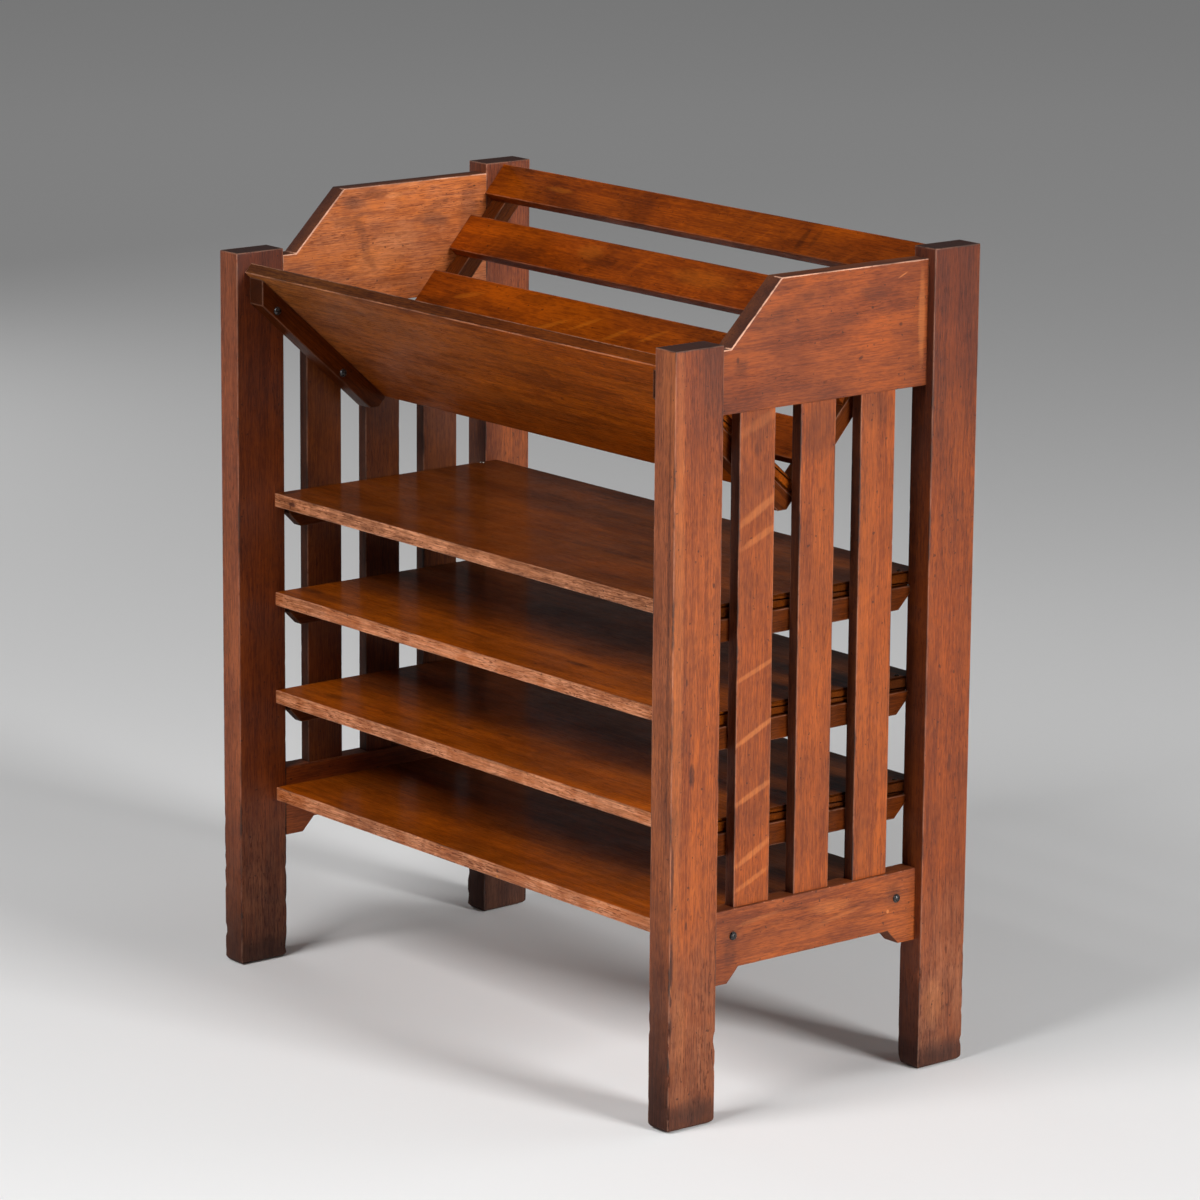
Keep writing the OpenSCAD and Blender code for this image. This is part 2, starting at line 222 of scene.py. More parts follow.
DARK_MARKS = {
    "oak_posts": (
        *on_face(
            354,
            # Front post: nicks and a bruise, from the top down
            (-137.4, 515.5, UPWARD, 3.5, 2.2, 0.9),
            (-168.2, 429, UPWARD, 5, 1.6, 0.7),
            (-161, 341, UPWARD, 14, 4.5, 0.75),
            (-166, 198, UPWARD, 6, 2, 0.7),
            # Its front arris, broken and dirty towards the foot
            (-183, 250, UPWARD, 42, 2.6, 0.8),
            (-183, 165, UPWARD, 34, 2.6, 0.9),
            (-183.6, 128, UPWARD, 7, 2.0, 0.8),
            (-183.5, 105, UPWARD, 18, 2.4, 0.8),
            # Dirt on its foot, and a darker patch at its head
            (-156, 20, LEVEL, 30, 16, 0.3),
            (-140, 715, UPWARD, 60, 26, 0.35),
            # Rear post: dirt on its foot, and a scratch
            (157, 16, LEVEL, 34, 14, 0.4),
            (160, 300, UPWARD, 14, 2.2, 0.6),
        ),
        # Front post, front face: the dark right edge and the dirty foot
        ((347.2, -185.5, 470), UPWARD, 330, 2.6, 0.5),
        ((338, -185.5, 60), UPWARD, 190, 18, 0.4),
    ),
    "oak_side_boards": (
        *on_face(
            345,
            # Right end board: small knots and a nick
            (59, 751, LEVEL, 2.4, 1.8, 0.9),
            (94.7, 731.7, LEVEL, 3, 2.4, 0.8),
            (45.5, 705, RISING, 4, 2.2, 0.8),
            (-104.6, 718.6, UPWARD, 5, 2.6, 0.7),
            # Its clouds, along the slope and the top and then lower down
            (-58, 752, LEVEL, 26, 12, 0.34),
            (-75, 749, LEVEL, 16, 10, 0.3),
            (-27, 767, RISING, 22, 10, 0.3),
            (-43, 782, LEVEL, 26, 8, 0.3),
            (-100, 712, RISING, 12, 8, 0.35),
            (62, 765, LEVEL, 26, 12, 0.35),
            (20, 740, RISING, 30, 12, 0.25),
            # Right rail: clouds in the middle and round the screws
            (-3, 167, LEVEL, 26, 7, 0.3),
            (101, 178, UPWARD, 18, 14, 0.35),
            (-102, 175, LEVEL, 13, 12, 0.3),
            (-104, 160, UPWARD, 22, 10, 0.35),
            # Its dark streaks of grain
            (-62, 176, (0, 1, 0.16), 36, 3, 0.3),
            (-20, 187, (0, 1, -0.12), 40, 2.6, 0.35),
            (46, 176, (0, 1, 0.2), 34, 3, 0.3),
            (60, 165, (0, 1, -0.1), 30, 2.6, 0.35),
        ),
        *on_face(
            -325,
            # Left end board: one crooked smear in three strokes
            (-33, 748, (0, 0.5, -1), 20, 8, 0.35),
            (-26, 728, (0, 0.1, -1), 20, 7, 0.35),
            (-19, 712, (0, 0.6, -1), 14, 6, 0.3),
            # Clouds under its top
            (-39, 774, LEVEL, 18, 8, 0.45),
            (-14, 781, LEVEL, 22, 7, 0.4),
            (-52, 756, LEVEL, 20, 8, 0.4),
            (-42, 757, RISING, 22, 5, 0.35),
            # Clouds towards the rear, and painted shadow on the dark rear end
            (58, 749, RISING, 18, 8, 0.45),
            (62, 752, (0, 1, -0.5), 26, 9, 0.45),
            (58, 760, RISING, 36, 7, 0.3),
            (105, 745, UPWARD, 50, 16, 0.4),
            # Clouds low down
            (36, 678, LEVEL, 30, 10, 0.4),
            (20, 690, LEVEL, 60, 8, 0.35),
        ),
    ),
    # A spot on the front slat, and painted shadow of the end board on the heads of all three
    "oak_side_slats": on_face(
        341.2,
        (-76, 634, UPWARD, 10, 7, 0.35),
        (-2, 640, UPWARD, 40, 24, 0.4),
        (72, 655, UPWARD, 24, 24, 0.35),
        (-76, 655, UPWARD, 26, 24, 0.3),
    ),
    "oak_shelves": (
        # Stains on the tops of the middle shelves
        ((101, -91, 386.4), LONGWAYS, 26, 5, 0.6),
        ((-88, -80, 284.2), LONGWAYS, 20, 4, 0.55),
        ((-39, -69, 284.2), LONGWAYS, 14, 4, 0.6),
        ((-265, -110, 284.2), LONGWAYS, 22, 9, 0.5),
        ((-311, -108, 386.4), LONGWAYS, 26, 12, 0.5),
        # Top shelf: a knot in the edge, and the dirty left end
        ((-296, -140.5, 481.6), LONGWAYS, 8, 3.4, 0.95),
        ((-318, -128, 488.6), LEVEL, 16, 6, 0.7),
    ),
    "oak_trough_slats": (
        # Top slat: the dark figure that slants across it
        ((155.6, 138, 782.5), UP_THE_RACK, 17, 6, 0.5),
        ((172, 141, 786), UP_THE_RACK, 15, 5, 0.35),
        # Dark left ends of the top and the lower slat
        ((-296, 149, 795), LONGWAYS, 30, 8, 0.4),
        ((-303, 39, 670.5), LONGWAYS, 40, 9, 0.45),
        # Clouds on the upper and the lower slat
        ((-96, 93, 732), LONGWAYS, 36, 9, 0.3),
        ((-150, 56, 690), LONGWAYS, 40, 8, 0.35),
    ),
    # The dull patch under the top of the front board
    "oak_trough_board": (((-180, -140, 690), LONGWAYS, 150, 30, 0.28),),
}
PALE_MARKS = {
    "oak_posts": on_face(
        354,
        # Front post: the rubbed front arris, a scratch, two bare chips and the scuffed foot
        (-179, 430, UPWARD, 470, 8.0, 0.32),
        (-175, 630, UPWARD, 13, 0.9, 0.7),
        (-183.8, 140, UPWARD, 7, 1.0, 0.9),
        (-183.6, 113, UPWARD, 5, 1.1, 0.9),
        (-172, 96, UPWARD, 52, 9, 0.35),
        # Rear post: the scuffed foot
        (146, 66, UPWARD, 30, 17, 0.55),
    ),
    "oak_side_boards": (
        *on_face(
            345,
            # Right end board: a scratch, and painted light reflected from the rear post on its rear end
            (96, 777.6, RISING, 8, 0.9, 0.8),
            (121, 735, UPWARD, 60, 5.5, 0.45),
            # Right rail: the rubbed middle, a dot by the screw and light streaks of grain
            (20, 182, LEVEL, 34, 9, 0.3),
            (93.4, 163.8, LEVEL, 2.4, 2.2, 0.9),
            (-70, 186, (0, 1, 0.1), 34, 3, 0.3),
            (30, 170, (0, 1, 0.14), 40, 3, 0.25),
        ),
        *on_face(
            -325,
            # Left end board: painted light on the middle, and two bright rubs under the top
            (0, 722, RISING, 60, 26, 0.4),
            (10, 778, LEVEL, 14, 4, 0.8),
            (30, 789, LEVEL, 16, 5, 0.6),
        ),
    ),
    # The rays that cross the front slat, from the top down
    "oak_side_slats": on_face(
        341.2,
        (-75, 657, RISING, 34, 7, 0.3),
        (-73, 576, (0, 1, 0.55), 44, 5.5, 0.5),
        (-71, 551, RISING, 40, 4.6, 0.45),
        (-73, 425, (0, 1, 0.36), 44, 3.2, 0.55),
        (-75, 365.5, (0, 1, 0.46), 44, 3.6, 0.68),
        (-74, 308, RISING, 44, 3.8, 0.64),
        (-74, 250, (0, 1, 0.5), 40, 4.2, 0.6),
        (-76, 224, RISING, 36, 3.4, 0.5),
    ),
    # Chips in the edge of the bottom shelf
    "oak_shelves": (
        ((-87, -140.5, 181.5), LONGWAYS, 3, 1.4, 0.9),
        ((39.6, -140.5, 170), LONGWAYS, 3, 1.8, 0.9),
    ),
    "oak_trough_slats": (
        # The rays that cross the lower slat, from the left
        ((-252, 48.8, 681.5), (1, 0.2, 0.22), 30, 4, 0.35),
        ((-110, 40, 671.7), (1, 0.3, 0.34), 34, 3.6, 0.35),
        ((-60, 47, 679.6), (1, 0.36, 0.4), 26, 3.4, 0.35),
        ((-10, 44, 676.2), (1, 0.4, 0.45), 26, 3.4, 0.35),
        ((40, 48, 680.7), (1, 0.4, 0.45), 24, 3.4, 0.3),
        # Painted light on the upper slat, and a ray on the top one
        ((60, 96, 735), LONGWAYS, 60, 14, 0.25),
        ((-118, 99, 738.3), LONGWAYS, 26, 12, 0.3),
        ((-218.7, 140, 784.6), LONGWAYS, 26, 4, 0.35),
    ),
}


# Shader building blocks

class Steps:
    """Adds nodes to a tree, so that a finish reads as a list of steps."""

    def __init__(self, tree):
        self.tree = tree

    def add(self, kind, inputs=None, **settings):
        """A new node with its settings and with what is fed to its inputs."""
        node = self.tree.nodes.new(kind)
        for name, value in settings.items():
            setattr(node, name, value)
        self.feed(node.inputs, inputs or {})
        return node

    def feed(self, sockets, values):
        """Links sockets to other ones' values, or sets them. A colour comes without its alpha."""
        for name, value in values.items():
            socket = sockets[name]
            if isinstance(value, bpy.types.NodeSocket):
                self.tree.links.new(value, socket)
            else:
                socket.default_value = (*value, 1.0) if socket.type == "RGBA" else value

    def math(self, operation, a, b=0.0, clamp=False):
        return self.add("ShaderNodeMath", {0: a, 1: b}, operation=operation, use_clamp=clamp).outputs[0]

    def times(self, a, b):
        return self.math("MULTIPLY", a, b)

    def vector(self, operation, a, b=(0, 0, 0)):
        node = self.add("ShaderNodeVectorMath", {0: a, 1: b}, operation=operation)
        return node.outputs["Value" if operation in ("LENGTH", "DOT_PRODUCT") else "Vector"]

    def mix(self, share_of_b, a, b, blend="MIX"):
        inputs = {"Factor": share_of_b, 6: a, 7: b}
        node = self.add("ShaderNodeMix", inputs, data_type="RGBA", blend_type=blend, clamp_result=True)
        return node.outputs[2]

    def tint(self, colour, by):
        return self.mix(1.0, colour, by, "MULTIPLY")

    def ramp(self, value, low, high, to_low=0.0, to_high=1.0):
        inputs = {"Value": value, "From Min": low, "From Max": high, "To Min": to_low, "To Max": to_high}
        return self.add("ShaderNodeMapRange", inputs, interpolation_type="SMOOTHSTEP").outputs["Result"]

    def noise(self, place, stretch, detail=2.0, rough=0.5, output="Fac"):
        """A pattern with so many turns in a metre: one number, or one along each axis."""
        turns = (stretch,) * 3 if isinstance(stretch, (int, float)) else stretch
        spread = self.vector("MULTIPLY", place, turns)
        inputs = {"Vector": spread, "Scale": 1.0, "Detail": detail, "Roughness": rough}
        return self.add("ShaderNodeTexNoise", inputs).outputs[output]

    def attribute(self, name, output="Fac"):
        return self.add("ShaderNodeAttribute", attribute_name=name).outputs[output]

    def place(self, output="Object"):
        return self.add("ShaderNodeTexCoord").outputs[output]

    def part(self, vector, axis):
        """One axis of a vector."""
        return self.add("ShaderNodeSeparateXYZ", {0: vector}).outputs[axis]

    def total(self, *parts):
        """The sum of several values, each with its own weight."""
        whole = 0.0
        for value, weight in parts:
            whole = self.math("ADD", self.times(value, weight), whole)
        return whole

    def across(self, amount):
        """A vector that widens or narrows a pattern across the grain and leaves its run."""
        return self.add("ShaderNodeCombineXYZ", {"X": 1.0, "Y": amount, "Z": amount}).outputs[0]

    def bump(self, height, strength, depth):
        inputs = {"Strength": strength, "Distance": depth, "Height": height}
        return self.add("ShaderNodeBump", inputs).outputs["Normal"]

    def group(self, make, **given):
        """Places a node group, which its function builds at its first use, and feeds it."""
        name = make.__name__
        tree = bpy.data.node_groups[name] if name in bpy.data.node_groups else make(name)
        node = self.add("ShaderNodeGroup", node_tree=tree)
        self.feed(node.inputs, given)
        return node.outputs


def new_group(name, inputs, outputs):
    """An empty shader node group with named sockets."""
    tree = bpy.data.node_groups.new(name, "ShaderNodeTree")
    for way, sockets in (("INPUT", inputs), ("OUTPUT", outputs)):
        for label, kind in sockets.items():
            tree.interface.new_socket(name=label, in_out=way, socket_type="NodeSocket" + kind)
    s = Steps(tree)
    return tree, s, s.add("NodeGroupInput").outputs, s.add("NodeGroupOutput").inputs


def new_material(name):
    """A material, its steps and its shader's inputs."""
    material = bpy.data.materials.new(name)
    material.use_nodes = True
    return material, Steps(material.node_tree), material.node_tree.nodes["Principled BSDF"].inputs


def oak_grain(name):
    """Quartered oak: soft rings, broken fibres, open pores, ray figure and clouds in the stain."""
    tree, s, given, result = new_group(
        name,
        {"Board": "Vector", "Light": "Color", "Dark": "Color", "Rings": "Float", "Pores": "Float",
         "Flecks": "Float", "Mottle": "Float"},
        {"Color": "Color", "Height": "Float", "Roughness": "Float", "Flakes": "Float"},
    )
    board = given["Board"]
    sway = s.vector("SUBTRACT", s.noise(board, (3, 14, 14), output="Color"), (0.5, 0.5, 0.5))
    place = s.vector("ADD", board, s.vector("MULTIPLY", sway, (0, 0.008, 0.008)))
    ring_place = s.vector("MULTIPLY", place, s.across(given["Rings"]))
    rings = s.noise(ring_place, (2.4, 100, 36), 3, 0.6)
    fibres = s.noise(place, (26, 640, 640), 2, 0.6)
    dashes = s.noise(place, (110, 1050, 1050), 2, 0.6)
    figure = s.ramp(s.total((rings, 0.28), (fibres, 0.36), (dashes, 0.36)), 0.38, 0.62)
    clusters = s.ramp(s.noise(board, (11, 60, 60), 1), 0.4, 0.6, 0.25, 1.0)
    pores = s.times(s.ramp(s.noise(place, (105, 980, 980)), 0.56, 0.66), clusters)
    inputs = {"Vector": place, "Rotation": (0, 0, math.radians(38))}
    leaning = s.add("ShaderNodeMapping", inputs, vector_type="POINT").outputs["Vector"]
    flecks = s.ramp(s.noise(leaning, (120, 20, 60), 2, 0.55), 0.54, 0.70)
    flecks = s.times(flecks, s.ramp(s.noise(board, (5, 9, 9), 1), 0.42, 0.62))
    mottle = s.ramp(s.noise(board, (9, 20, 20), 4, 0.62), 0.36, 0.68)
    warmth = s.ramp(s.noise(s.vector("ADD", board, (3.7, 1.9, 0.8)), (6, 17, 17)), 0.42, 0.66)

    colour = s.mix(figure, given["Light"], given["Dark"])
    colour = s.mix(s.times(pores, given["Pores"]), colour, s.tint(given["Dark"], DEEP_PORE))
    colour = s.mix(s.times(flecks, given["Flecks"]), colour, s.tint(given["Light"], PALE_FLECK))
    colour = s.mix(s.times(mottle, given["Mottle"]), colour, s.tint(colour, DULL_CLOUD))
    colour = s.mix(warmth, colour, s.tint(colour, WARM_GLOW))
    s.feed(result, {
        "Color": colour,
        "Height": s.total((figure, -0.3), (pores, -0.7)),
        "Flakes": s.ramp(s.noise(place, (20, 440, 440), 3, 0.6), 0.42, 0.60),
        "Roughness": s.total((s.ramp(mottle, 0, 1, 0.46, 0.58), 1.0), (pores, 0.12)),
    })
    return tree


def mark(name):
    """A mask for one mark on the wood: a streak round a middle, along a direction, with a ragged rim."""
    tree, s, given, result = new_group(
        name,
        {"Place": "Vector", "Middle": "Vector", "Run": "Vector", "Long": "Float", "Wide": "Float"},
        {"Mask": "Float"},
    )
    offset = s.vector("SUBTRACT", given["Place"], given["Middle"])
    along = s.vector("DOT_PRODUCT", offset, given["Run"])
    on_line = s.add("ShaderNodeVectorMath", {0: given["Run"], "Scale": along}, operation="SCALE").outputs[0]
    beside = s.vector("LENGTH", s.vector("SUBTRACT", offset, on_line))
    far = s.math("POWER", s.math("DIVIDE", along, given["Long"]), 2)
    wide = s.math("POWER", s.math("DIVIDE", beside, given["Wide"]), 2)
    ragged = s.noise(given["Place"], 170, 3, 0.6)
    reach = s.total((s.math("SQRT", s.math("ADD", far, wide)), 1.0), (ragged, 0.65))
    s.feed(result, {"Mask": s.ramp(reach, 0.72, 1.32, 1.0, 0.0)})
    return tree


def edge_wear(name):
    """Masks for a worn arris: where it is rubbed pale, and where dirt has darkened it."""
    tree, s, given, result = new_group(
        name, {"Edge": "Float", "Place": "Vector"}, {"Rubbed": "Float", "Dirty": "Float"},
    )
    fine = s.noise(given["Place"], 150, 4, 0.65)
    slow = s.noise(given["Place"], 17)
    rubbed = s.ramp(s.total((given["Edge"], 1.0), (fine, 0.7)), 1.16, 1.34)
    dirty = s.ramp(s.total((given["Edge"], 1.0), (fine, 1.5)), 1.25, 1.75)
    s.feed(result, {
        "Rubbed": s.times(rubbed, s.ramp(slow, 0.40, 0.60, 0.35, 1.0)),
        "Dirty": s.times(dirty, s.ramp(slow, 0.36, 0.54, 1.0, 0.0)),
    })
    return tree


def patina(name):
    """Wax and dirt lying in soft clouds, fine specks and smears."""
    tree, s, given, result = new_group(
        name, {"Place": "Vector"}, {"Cloud": "Float", "Specks": "Float", "Smear": "Float"},
    )
    s.feed(result, {
        "Cloud": s.ramp(s.noise(given["Place"], 11, 4, 0.6), 0.48, 0.72),
        "Specks": s.ramp(s.noise(given["Place"], 210, 1), 0.735, 0.77),
        "Smear": s.ramp(s.noise(given["Place"], 40, 3, 0.6), 0.35, 0.65),
    })
    return tree


def marks_of(s, place, marks):
    """One mask for a list of marks."""
    mask = 0.0
    for middle, run, long, wide, strength in marks:
        spot = s.group(
            mark, Place=place, Middle=Vector(middle) * MM, Run=Vector(run).normalized(),
            Long=long * MM, Wide=wide * MM,
        )["Mask"]
        mask = s.math("MAXIMUM", mask, s.times(spot, strength))
    return mask


# Finishes

def oak_finish(
    slot, part, rings=1.0, pores=0.5, flecks=0.1, mottle=0.5, rubbed=0.2, grimy=0.45,
    coat=0.06, coat_roughness=0.25, specular=0.33, amber=False,
):
    """Stained and waxed oak, worn on its arrises and darker where the end grain drank the stain. The same
    grime mix also lays painted shade on tops and on front and back faces, and the tone adds painted light and
    shade to whole faces.
    """
    stains = bpy.context.scene.trough_stains
    light, dark = getattr(stains, part + "_light"), getattr(stains, part + "_dark")
    material, s, shader = new_material("worn_" + slot)
    place = s.place()
    wax = s.group(patina, Place=place)
    bare = s.times(s.attribute("bare"), s.ramp(wax["Smear"], 0, 1, 0.55, 1.0))
    soak = s.attribute("soak")
    grain = s.group(
        oak_grain, Board=s.attribute("board", "Vector"), Light=light, Dark=dark, Rings=rings,
        Pores=s.total((bare, 0.5), (1.0, pores)), Flecks=flecks, Mottle=mottle,
    )
    wear = s.group(edge_wear, Edge=s.attribute("edge"), Place=place)

    # The tone multiplied in here holds each piece's tone together with painted light and shade.
    colour = s.tint(grain["Color"], s.attribute("tone", "Color"))
    thin = s.mix(s.ramp(grain["Height"], -0.5, 0.0), STAINED_PORE, WHITE)
    thin = s.tint(stains.bare, thin)
    colour = s.mix(s.times(bare, s.ramp(grain["Flakes"], 0, 1, 0.68, 1.2)), colour, thin)
    # Pale marks: rays, scratches and chips, and painted light where a face is lit more.
    clear = [level * more for level, more in zip(light, RAY_AND_LIGHT)]
    ray_and_light = s.mix(0.45, s.tint(colour, LIFTED), clear)
    colour = s.mix(marks_of(s, place, PALE_MARKS.get(slot, ())), colour, ray_and_light)
    colour = s.mix(marks_of(s, place, DARK_MARKS.get(slot, ())), colour, s.tint(colour, DARK_MARK))
    # These grime layers also hold painted shade on tops and on front and back faces.
    for layer in (
        s.times(wax["Cloud"], 0.22), s.times(wax["Specks"], 0.6), s.times(soak, 0.85),
        s.times(wear["Dirty"], s.total((1.0, grimy), (soak, 0.5))),
    ):
        colour = s.mix(layer, colour, stains.grime)

    coated = s.ramp(wax["Smear"], 0, 1, coat, coat * 0.85)
    s.feed(shader, {
        "Base Color": s.mix(s.times(wear["Rubbed"], rubbed), colour, stains.rubbed),
        "Roughness": s.total((grain["Roughness"], 1.0), (wax["Smear"], 0.06), (soak, 0.25)),
        "Coat Weight": s.times(coated, s.math("SUBTRACT", 1.0, soak, clamp=True)),
        "Coat Roughness": coat_roughness,
        "Specular IOR Level": specular,
        "Specular Tint": AMBER if amber else WHITE,
        "Normal": s.bump(grain["Height"], 0.45, 0.3 * MM),
    })
    return material


def metal_finish(slot, part, metallic, low, high, worn, rust=0.0):
    """Old painted or bare metal, with dull and bright places. Rust darkens it towards the right end."""
    colour = getattr(bpy.context.scene.trough_stains, part)
    material, s, shader = new_material("worn_" + slot)
    place = s.place()
    blot = s.ramp(s.noise(place, 600, 3, 0.6), 0.4, 0.65)
    painted = s.mix(s.times(blot, 0.6), colour, worn)
    rusty = s.ramp(s.part(place, "X"), -0.2, 0.2, 0.0, rust)
    s.feed(shader, {
        "Base Color": s.mix(rusty, painted, RUST),
        "Roughness": s.ramp(blot, 0, 1, low, high),
        "Metallic": metallic,
        "Normal": s.bump(blot, 0.3, 0.1 * MM),
    })
    return material


RECIPES = {
    "oak_posts": (
        oak_finish, "posts", dict(rings=0.9, pores=0.6, flecks=0.15, mottle=0.55, rubbed=0.14, grimy=0.8),
    ),
    "oak_side_boards": (oak_finish, "boards", dict(flecks=0.12, mottle=0.8, rubbed=0.75, grimy=0.3)),
    "oak_side_slats": (oak_finish, "slats", dict(flecks=0.25, mottle=0.45, rubbed=0.15, grimy=0.7)),
    "oak_shelves": (
        oak_finish, "shelves",
        dict(pores=0.3, mottle=0.6, coat=0.3, coat_roughness=0.2, specular=0.06, amber=True),
    ),
    "oak_trough_board": (
        oak_finish, "trough", dict(pores=0.4, mottle=0.7, rubbed=0.22, specular=0.12, amber=True),
    ),
    "oak_trough_slats": (
        oak_finish, "rack", dict(pores=0.4, flecks=0.4, mottle=1.0, rubbed=0.12, specular=0.12, amber=True),
    ),
    "oak_battens": (oak_finish, "battens", dict(rubbed=0.1, specular=0.15, amber=True)),
    "black_screws": (
        metal_finish, "japan", dict(metallic=0.35, low=0.22, high=0.42, worn=(0.06, 0.05, 0.045)),
    ),
    "nails": (
        metal_finish, "steel", dict(metallic=0.9, low=0.25, high=0.5, worn=(0.2, 0.17, 0.14), rust=0.95),
    ),
}


def finish_of(slot):
    """The material for one of the record's slots."""
    name = "worn_" + slot
    if name in bpy.data.materials:
        return bpy.data.materials[name]
    make, part, amounts = RECIPES[slot]
    return make(slot, part, **amounts)


# Reading the frame

def merged_copy(node):
    """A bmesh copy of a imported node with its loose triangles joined."""
    bm = bmesh.new()
    bm.from_mesh(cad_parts[node].data)
    bmesh.ops.remove_doubles(bm, verts=bm.verts[:], dist=MERGE)
    return bm


def outer_corners(node):
    """Corners of a board's outer face, in order round it."""
    lo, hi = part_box(node)
    plane = lo.x if lo.x + hi.x < 0 else hi.x
    bm = merged_copy(node)
    flat = {f for f in bm.faces if all(abs(v.co.x - plane) < MERGE for v in f.verts)}
    rim = [e for e in bm.edges if sum(f in flat for f in e.link_faces) == 1]
    loops = []
    while rim:
        first = rim.pop()
        chain = list(first.verts)
        while chain[-1] is not chain[0]:
            step = next(e for e in rim if chain[-1] in e.verts)
            rim.remove(step)
            chain.append(step.other_vert(chain[-1]))
        loops.append([v.co.copy() for v in chain[:-1]])
    outline = max(loops, key=lambda c: sum((a - b).length for a, b in zip(c, c[1:] + c[:1])))
    bm.free()
    return [
        here for before, here, after in zip(outline[-1:] + outline[:-1], outline, outline[1:] + outline[:1])
        if (here - before).normalized().dot((after - here).normalized()) < STRAIGHT
    ]


def parts_of(node):
    """The boxes of a node's separate solids, in order of place."""
    bm = merged_copy(node)
    left, boxes = set(bm.verts), []
    while left:
        seen, front = set(), [left.pop()]
        while front:
            v = front.pop()
            seen.add(v)
            front += [w for e in v.link_edges for w in (e.other_vert(v),) if w not in seen]
        left -= seen
        boxes.append([Vector(pick(v.co[i] for v in seen) for i in range(3)) for pick in (min, max)])
    bm.free()
    return sorted(boxes, key=lambda b: tuple(round(x, 4) for x in b[0]))


# Boards

def put(name, data):
    """Adds an object to the scene."""
    thing = bpy.data.objects.new(name, data)
    bpy.context.scene.collection.objects.link(thing)
    return thing


def add_piece(bm, name, slot, nodes):
    """Makes a finished bmesh an object that rides on the frame in place of its nodes."""
    mesh = bpy.data.meshes.new(name)
    bm.to_mesh(mesh)
    bm.free()
    mesh.shade_smooth()
    piece = put(name, mesh)
    mesh.materials.append(finish_of(slot))
    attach(piece, "root")
    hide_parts(*nodes)
    return piece


def points_in(geometry):
    return [g for g in geometry if isinstance(g, bmesh.types.BMVert)]


def edge_at(edge, axis, level):
    return all(abs(v.co.dot(axis) - level) < AT_LEVEL for v in edge.verts)


def cut(bm, place, normal, **more):
    """Cuts a bmesh with a plane."""
    bmesh.ops.bisect_plane(
        bm, geom=bm.verts[:] + bm.edges[:] + bm.faces[:], dist=MERGE, plane_co=place, plane_no=normal, **more,
    )


def part_way(value, start, span):
    """0 up to a start, 1 from a span beyond it, and even between. A negative span runs the other way."""
    return min(1.0, max(0.0, (value - start) / span))


def nearness(place, height):
    """1 at the floor and 0 from a height up."""
    return max(0.0, 1 - place.z / height)


def plain(place):
    """The tone of a piece that its finish alone colours."""
    return 1.0, 1.0, 1.0


def full(place):
    """The wear of a piece whose arrises are all rubbed alike."""
    return 1.0


def board(
    node, slot, seed, across=False, free_low=False, free_high=False, foot=0.0,
    dark_top=0.0, dark_side=0.0, bare_front=0.0, bare_inside=0.0, worn=full, tone=plain,
):
    """One oak board, cut to its node's outline, with worn arrises and coordinates that follow its grain."""
    sizes = bpy.context.scene.trough_boards
    corners = outer_corners(node)
    lo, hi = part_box(node)
    sides = [b - a for a, b in zip(corners, corners[1:] + corners[:1])]
    along = max(sides, key=lambda side: side.length).normalized()
    if along.y + along.z < 0:
        along = -along
    grain, width = (ACROSS, along) if across else (along, along.cross(ACROSS))

    bm = bmesh.new()
    ring = [bm.verts.new((lo.x, c.y, c.z)) for c in corners]
    pulled = bmesh.ops.extrude_face_region(bm, geom=[bm.faces.new(ring)])["geom"]
    bmesh.ops.translate(bm, verts=points_in(pulled), vec=(hi.x - lo.x, 0, 0))
    bmesh.ops.recalc_face_normals(bm, faces=bm.faces[:])
    reach = [v.co.dot(grain) for v in bm.verts]
    start, stop = min(reach), max(reach)
    butted = [e for e in bm.edges if not free_low and edge_at(e, grain, start)]
    butted += [e for e in bm.edges if not free_high and edge_at(e, grain, stop)]
    rounded = bmesh.ops.bevel(
        bm, geom=[e for e in bm.edges if e not in butted], offset=sizes.arris, offset_type="OFFSET",
        segments=3, profile=0.5, affect="EDGES", material=-1, clamp_overlap=True,
    )["faces"]
    edge = bm.verts.layers.float.new("edge")
    for v in bm.verts:
        v[edge] = worn(v.co)
    flat = [f for f in bm.faces if f not in rounded]
    bmesh.ops.inset_individual(bm, faces=flat, thickness=sizes.band, use_even_offset=True)
    for f in flat:
        for v in f.verts:
            v[edge] = 0.0
    count = max(2, round((stop - start) / sizes.station))
    for step in range(1, count):
        cut(bm, grain * (start + (stop - start) * step / count), grain)
    if foot:
        round_foot(bm, lo, hi, sizes.foot)
    rub_down(bm, edge, seed, sizes, foot)
    carry_grain(bm, (grain, width, grain.cross(width)), (lo + hi) / 2, seed, tone)
    carry_wear(bm, grain, foot, (dark_top, dark_side), (bare_front, bare_inside))
    return add_piece(bm, node + "_oak", slot, [node])


def boards(names, slot, seed, **how):
    """Like boards, each with a seed of its own."""
    for step, name in enumerate(names):
        board(name, slot, seed + step, **how)


def round_foot(bm, lo, hi, radius):
    """Draws the last few millimetres of a post in, so that its foot is rounded."""
    for ring in range(1, FOOT_RINGS):
        cut(bm, UP * (lo.z + radius * (ring / FOOT_RINGS) ** 2), UP)
    middle, half = (lo + hi) / 2, (hi - lo) / 2
    for v in bm.verts:
        rise = v.co.z - lo.z
        if rise < radius:
            drawn = radius - math.sqrt(radius ** 2 - (radius - rise) ** 2)
            for axis in (0, 1):
                v.co[axis] = middle[axis] + (v.co[axis] - middle[axis]) * (1 - drawn / half[axis])


